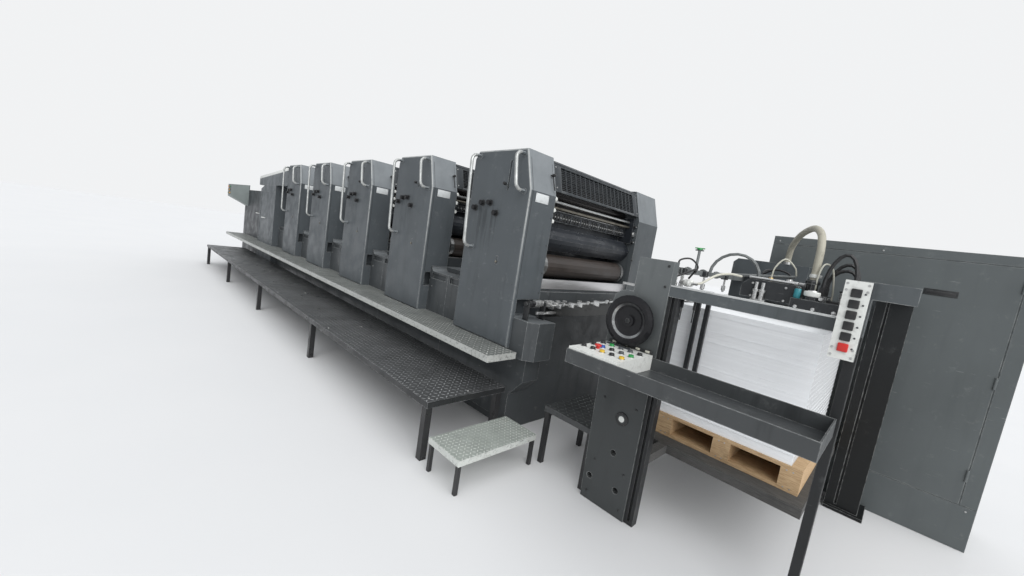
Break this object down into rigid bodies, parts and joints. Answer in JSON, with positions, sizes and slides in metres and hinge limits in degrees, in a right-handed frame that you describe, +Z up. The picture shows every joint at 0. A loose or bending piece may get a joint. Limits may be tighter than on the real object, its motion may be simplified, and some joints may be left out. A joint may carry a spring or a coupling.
{
  "type": "offset printing press",
  "caption": "Sheet-fed offset printing press with tall printing units in line, a pile feeder, a lower coating module, a delivery, walkways and a control cabinet.",
  "frame": {"origin": "on the floor, on the press centreline, under the middle of the third printing unit", "axes": "+X along the press towards the feeder, +Y towards the drive side and the cabinet, +Z up"},
  "size_m": [11.14, 2.7203, 2.04],
  "materials": {
    "press_paint": "hammered blue-grey machine paint, worn",
    "dark_paint": "dark grey machine paint, oily",
    "black_paint": "black paint, scuffed",
    "tread_plate": "five-bar tread plate, worn",
    "bare_steel": "bright machined steel",
    "blanket": "ink-stained rubber blanket",
    "pile_wood": "grey worn planks",
    "pallet_wood": "sawn softwood",
    "paper": "stacked white sheets",
    "panel_white": "off-white panel paint",
    "hose": "beige ribbed hose"
  },
  "bodies": {
    "press": {"unit_1_operator_cover": "press_paint", "unit_2_operator_cover": "press_paint", "unit_3_operator_cover": "press_paint", "unit_4_operator_cover": "press_paint", "unit_5_operator_cover": "press_paint", "unit_1_drive_cover": "press_paint", "unit_2_drive_cover": "press_paint", "unit_3_drive_cover": "press_paint", "unit_4_drive_cover": "press_paint", "unit_5_drive_cover": "press_paint", "unit_1_base": "dark_paint", "unit_2_base": "dark_paint", "unit_3_base": "dark_paint", "unit_4_base": "dark_paint", "unit_5_base": "dark_paint", "unit_1_inking_tower": "press_paint", "unit_2_inking_tower": "press_paint", "unit_3_inking_tower": "press_paint", "unit_4_inking_tower": "press_paint", "unit_5_inking_tower": "press_paint", "coating_module": "press_paint", "module_link": "dark_paint", "delivery_frame": "dark_paint", "delivery_hood": "press_paint", "ledge": "tread_plate", "walk_platform": "black_paint", "entry_step": "tread_plate", "feeder_walkway": "black_paint", "feeder_operator_side": "press_paint", "feeder_drive_side": "press_paint", "feeder_tie": "dark_paint", "pile_guide_operator": "black_paint", "pile_guide_drive": "black_paint", "rear_post_operator": "dark_paint", "rear_column_drive": "dark_paint", "feeder_top_frame": "press_paint", "feed_board": "bare_steel", "forwarding_bridge": "black_paint", "suction_head": "dark_paint", "air_hoses": "black_paint", "suction_hose": "hose", "tool_tray": "press_paint", "control_desk": "panel_white", "control_box": "panel_white", "control_cabinet": "press_paint"},
    "cylinder_1": {"unit_1_blanket_cylinder": "blanket"},
    "cylinder_2": {"unit_2_blanket_cylinder": "blanket"},
    "cylinder_3": {"unit_3_blanket_cylinder": "blanket"},
    "cylinder_4": {"unit_4_blanket_cylinder": "blanket"},
    "cylinder_5": {"unit_5_blanket_cylinder": "blanket"},
    "guard_1": {"unit_1_ink_guard": "black_paint"},
    "guard_2": {"unit_2_ink_guard": "black_paint"},
    "guard_3": {"unit_3_ink_guard": "black_paint"},
    "guard_4": {"unit_4_ink_guard": "black_paint"},
    "guard_5": {"unit_5_ink_guard": "black_paint"},
    "pile": {"pile_board": "pile_wood", "pallet": "pallet_wood", "paper_stack": "paper"},
    "wheel": {"handwheel": "black_paint"}
  },
  "joints": [
    {"name": "cylinder_1_turn", "type": "hinge", "parent": "press", "child": "cylinder_1", "pos_m": [2.585, 0, 1.25], "axis": [0, 1, 0], "continuous": true},
    {"name": "cylinder_2_turn", "type": "hinge", "parent": "press", "child": "cylinder_2", "pos_m": [1.385, 0, 1.25], "axis": [0, 1, 0], "continuous": true},
    {"name": "cylinder_3_turn", "type": "hinge", "parent": "press", "child": "cylinder_3", "pos_m": [0.185, 0, 1.25], "axis": [0, 1, 0], "continuous": true},
    {"name": "cylinder_4_turn", "type": "hinge", "parent": "press", "child": "cylinder_4", "pos_m": [-1.015, 0, 1.25], "axis": [0, 1, 0], "continuous": true},
    {"name": "cylinder_5_turn", "type": "hinge", "parent": "press", "child": "cylinder_5", "pos_m": [-2.215, 0, 1.25], "axis": [0, 1, 0], "continuous": true},
    {"name": "guard_1_lift", "type": "hinge", "parent": "press", "child": "guard_1", "pos_m": [2.6345, 0, 2.005], "axis": [0, -1, 0], "range_deg": [0, 80]},
    {"name": "guard_2_lift", "type": "hinge", "parent": "press", "child": "guard_2", "pos_m": [1.4345, 0, 2.005], "axis": [0, -1, 0], "range_deg": [0, 80]},
    {"name": "guard_3_lift", "type": "hinge", "parent": "press", "child": "guard_3", "pos_m": [0.2345, 0, 2.005], "axis": [0, -1, 0], "range_deg": [0, 80]},
    {"name": "guard_4_lift", "type": "hinge", "parent": "press", "child": "guard_4", "pos_m": [-0.9655, 0, 2.005], "axis": [0, -1, 0], "range_deg": [0, 80]},
    {"name": "guard_5_lift", "type": "hinge", "parent": "press", "child": "guard_5", "pos_m": [-2.1655, 0, 2.005], "axis": [0, -1, 0], "range_deg": [0, 80]},
    {"name": "pile_hoist", "type": "slide", "parent": "press", "child": "pile", "axis": [0, 0, 1], "range_m": [-0.3, 0]},
    {"name": "handwheel_turn", "type": "hinge", "parent": "press", "child": "wheel", "pos_m": [3.625, -0.9, 1.08], "axis": [0, 1, 0], "continuous": true}
  ],
  "couplings": [
    {"joint": "cylinder_2_turn", "follows": "cylinder_1_turn", "ratio": 1},
    {"joint": "cylinder_3_turn", "follows": "cylinder_1_turn", "ratio": 1},
    {"joint": "cylinder_4_turn", "follows": "cylinder_1_turn", "ratio": 1},
    {"joint": "cylinder_5_turn", "follows": "cylinder_1_turn", "ratio": 1}
  ]
}
